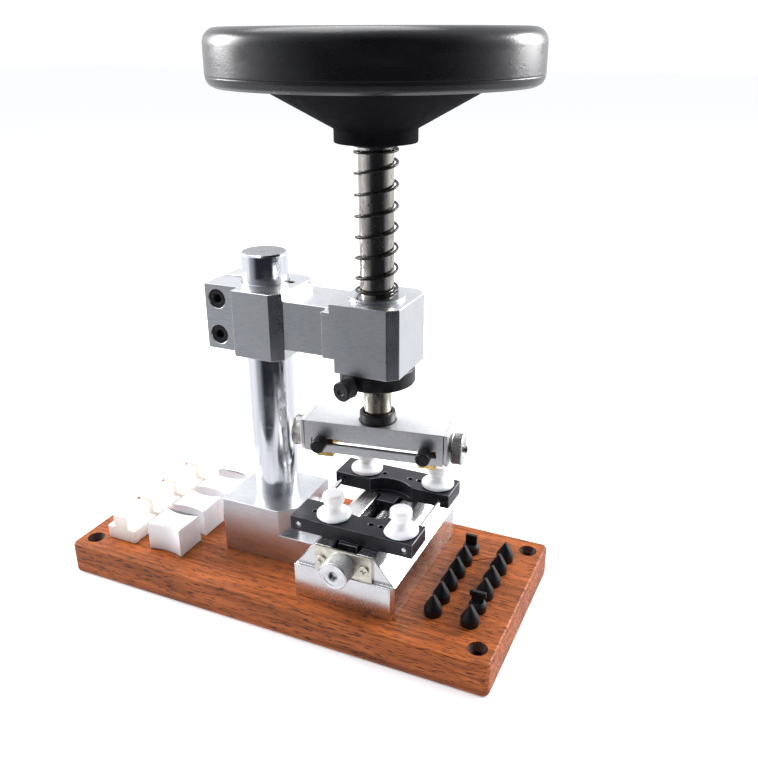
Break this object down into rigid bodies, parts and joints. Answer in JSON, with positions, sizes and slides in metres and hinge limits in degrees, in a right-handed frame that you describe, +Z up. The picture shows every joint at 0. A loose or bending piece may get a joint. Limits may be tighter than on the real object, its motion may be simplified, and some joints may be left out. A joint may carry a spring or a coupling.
{
  "type": "watch case press",
  "caption": "Bench press with a sprung ram turned by a handwheel, a two-tip head and a self-centring vice, on a wooden board with spare nylon blocks and steel bits.",
  "frame": {"origin": "middle of the wooden board's underside", "axes": "+X along the board to the right, +Y to the back, +Z up along the column"},
  "size_m": [0.22, 0.1286, 0.2553],
  "materials": {
    "wood": "oiled, open grain",
    "aluminium": "fine brushed",
    "polished_steel": "polished",
    "chrome": "worn",
    "nickel": "satin, knurled on the knobs",
    "brass": "machined",
    "black_steel": "black oxide",
    "black_plastic": "fine orange peel",
    "anodised": "black anodised",
    "nylon": "milky satin"
  },
  "bodies": {
    "stand": {"wooden_base": "wood", "riser_block": "aluminium", "vice_bed": "aluminium", "bracket_plate": "nickel", "plate_screw_left": "nickel", "plate_screw_right": "nickel", "ridge_block_1": "nylon", "ridge_block_2": "nylon", "ridge_block_3": "nylon", "ridge_block_4": "nylon", "hollow_block_1": "nylon", "hollow_block_2": "nylon", "hollow_block_3": "nylon", "hollow_block_4": "nylon"},
    "post": {"column": "polished_steel"},
    "arm": {"clamp_arm": "aluminium", "arm_set_screw": "black_steel", "shaft_bush": "aluminium", "return_spring": "black_steel"},
    "clamp_screw_low": {"clamp_screw_1": "black_steel"},
    "clamp_screw_high": {"clamp_screw_2": "black_steel"},
    "ram_carriage": {"spring_seat": "black_steel"},
    "ram": {"ram_shaft": "chrome", "handwheel": "black_plastic", "stop_collar": "black_steel", "head_ring_nut": "black_steel", "head_housing": "aluminium", "head_end_plate_left": "aluminium", "head_end_plate_right": "aluminium"},
    "collar_screw": {"collar_thumb_screw": "black_steel"},
    "head_screw": {"head_lead_screw": "chrome", "head_knob_left": "nickel", "head_knob_right": "nickel"},
    "carrier_left": {"tip_carrier_left": "brass"},
    "carrier_right": {"tip_carrier_right": "brass"},
    "carrier_screw_left": {"carrier_thumb_screw_left": "black_steel"},
    "carrier_screw_right": {"carrier_thumb_screw_right": "black_steel"},
    "vice_screw": {"vice_lead_screw": "chrome", "vice_knob": "nickel"},
    "front_jaw": {"jaw_front": "anodised"},
    "back_jaw": {"jaw_back": "anodised", "guide_rod_left": "chrome", "guide_rod_right": "chrome"},
    "pin_front_left_body": {"pin_front_left": "nylon"},
    "pin_front_right_body": {"pin_front_right": "nylon"},
    "pin_back_left_body": {"pin_back_left": "nylon"},
    "pin_back_right_body": {"pin_back_right": "nylon"},
    "bit_1_body": {"bit_1": "black_steel"},
    "bit_2_body": {"bit_2": "black_steel"},
    "bit_3_body": {"bit_3": "black_steel"},
    "bit_4_body": {"bit_4": "black_steel"},
    "bit_5_body": {"bit_5": "black_steel"},
    "bit_6_body": {"bit_6": "black_steel"},
    "bit_7_body": {"bit_7": "black_steel"},
    "bit_8_body": {"bit_8": "black_steel"},
    "bit_9_body": {"bit_9": "black_steel"},
    "bit_10_body": {"bit_10": "black_steel"},
    "bit_11_body": {"bit_11": "black_steel"},
    "bit_12_body": {"bit_12": "black_steel"}
  },
  "joints": [
    {"name": "arm_swing", "type": "hinge", "parent": "stand", "child": "post", "pos_m": [-0.0182, 0.003, 0], "axis": [0, 0, 1], "continuous": true},
    {"name": "arm_height", "type": "slide", "parent": "post", "child": "arm", "axis": [0, 0, 1], "range_m": [0, 0.012]},
    {"name": "clamp_screw_low_turn", "type": "hinge", "parent": "arm", "child": "clamp_screw_low", "pos_m": [-0.0347, 0, 0.1268], "axis": [0, 1, 0], "continuous": true},
    {"name": "clamp_screw_high_turn", "type": "hinge", "parent": "arm", "child": "clamp_screw_high", "pos_m": [-0.0347, 0, 0.1436], "axis": [0, 1, 0], "continuous": true},
    {"name": "ram_slide", "type": "slide", "parent": "arm", "child": "ram_carriage", "axis": [0, 0, -1], "range_m": [0, 0.0085], "stiffness_N_per_m": 620, "springref_m": -0.018, "deforming": ["return_spring"]},
    {"name": "ram_spin", "type": "hinge", "parent": "ram_carriage", "child": "ram", "pos_m": [0.0387, 0, 0], "axis": [0, 0, 1], "continuous": true},
    {"name": "collar_screw_turn", "type": "hinge", "parent": "ram", "child": "collar_screw", "pos_m": [0.0387, 0, 0.1148], "axis": [-0.2147, -0.9767, 0], "continuous": true},
    {"name": "head_screw_turn", "type": "hinge", "parent": "ram", "child": "head_screw", "pos_m": [0.0387, 0, 0.083], "axis": [0.988, 0.1547, 0], "range_deg": [-631, 3421]},
    {"name": "carrier_left_slide", "type": "slide", "parent": "ram", "child": "carrier_left", "axis": [0.988, 0.1547, 0], "range_m": [-0.0035, 0.019]},
    {"name": "carrier_screw_left_turn", "type": "hinge", "parent": "carrier_left", "child": "carrier_screw_left", "pos_m": [0.01499, -0.00371, 0.083], "axis": [-0.1547, 0.988, 0], "continuous": true},
    {"name": "carrier_right_slide", "type": "slide", "parent": "ram", "child": "carrier_right", "axis": [-0.988, -0.1547, 0], "range_m": [-0.00351, 0.01901]},
    {"name": "carrier_screw_right_turn", "type": "hinge", "parent": "carrier_right", "child": "carrier_screw_right", "pos_m": [0.06241, 0.00371, 0.083], "axis": [-0.1547, 0.988, 0], "continuous": true},
    {"name": "vice_screw_turn", "type": "hinge", "parent": "stand", "child": "vice_screw", "pos_m": [0.0387, 0, 0.0386], "axis": [0, 1, 0], "range_deg": [-481, 1681]},
    {"name": "front_jaw_slide", "type": "slide", "parent": "stand", "child": "front_jaw", "axis": [0, 1, 0], "range_m": [-0.002, 0.007]},
    {"name": "back_jaw_slide", "type": "slide", "parent": "stand", "child": "back_jaw", "axis": [0, -1, 0], "range_m": [-0.00201, 0.00701]},
    {"name": "pin_front_left_turn", "type": "hinge", "parent": "front_jaw", "child": "pin_front_left_body", "pos_m": [0.0271, -0.02245, 0.0523], "axis": [0, 0, 1], "continuous": true},
    {"name": "pin_front_right_turn", "type": "hinge", "parent": "front_jaw", "child": "pin_front_right_body", "pos_m": [0.0599, -0.02245, 0.0523], "axis": [0, 0, 1], "continuous": true},
    {"name": "pin_back_left_turn", "type": "hinge", "parent": "back_jaw", "child": "pin_back_left_body", "pos_m": [0.0223, 0.02245, 0.0523], "axis": [0, 0, 1], "continuous": true},
    {"name": "pin_back_right_turn", "type": "hinge", "parent": "back_jaw", "child": "pin_back_right_body", "pos_m": [0.0599, 0.02245, 0.0523], "axis": [0, 0, 1], "continuous": true},
    {"name": "bit_1_lift", "type": "slide", "parent": "stand", "child": "bit_1_body", "axis": [0, 0, 1], "range_m": [0, 0.012]},
    {"name": "bit_2_lift", "type": "slide", "parent": "stand", "child": "bit_2_body", "axis": [0, 0, 1], "range_m": [0, 0.012]},
    {"name": "bit_3_lift", "type": "slide", "parent": "stand", "child": "bit_3_body", "axis": [0, 0, 1], "range_m": [0, 0.012]},
    {"name": "bit_4_lift", "type": "slide", "parent": "stand", "child": "bit_4_body", "axis": [0, 0, 1], "range_m": [0, 0.012]},
    {"name": "bit_5_lift", "type": "slide", "parent": "stand", "child": "bit_5_body", "axis": [0, 0, 1], "range_m": [0, 0.012]},
    {"name": "bit_6_lift", "type": "slide", "parent": "stand", "child": "bit_6_body", "axis": [0, 0, 1], "range_m": [0, 0.012]},
    {"name": "bit_7_lift", "type": "slide", "parent": "stand", "child": "bit_7_body", "axis": [0, 0, 1], "range_m": [0, 0.012]},
    {"name": "bit_8_lift", "type": "slide", "parent": "stand", "child": "bit_8_body", "axis": [0, 0, 1], "range_m": [0, 0.012]},
    {"name": "bit_9_lift", "type": "slide", "parent": "stand", "child": "bit_9_body", "axis": [0, 0, 1], "range_m": [0, 0.012]},
    {"name": "bit_10_lift", "type": "slide", "parent": "stand", "child": "bit_10_body", "axis": [0, 0, 1], "range_m": [0, 0.012]},
    {"name": "bit_11_lift", "type": "slide", "parent": "stand", "child": "bit_11_body", "axis": [0, 0, 1], "range_m": [0, 0.012]},
    {"name": "bit_12_lift", "type": "slide", "parent": "stand", "child": "bit_12_body", "axis": [0, 0, 1], "range_m": [0, 0.012]}
  ],
  "couplings": [
    {"joint": "head_screw_turn", "follows": "carrier_left_slide", "rad_per_m": 3141.6},
    {"joint": "carrier_right_slide", "follows": "carrier_left_slide", "ratio": 1},
    {"joint": "vice_screw_turn", "follows": "front_jaw_slide", "rad_per_m": 4188.8},
    {"joint": "back_jaw_slide", "follows": "front_jaw_slide", "ratio": 1}
  ]
}
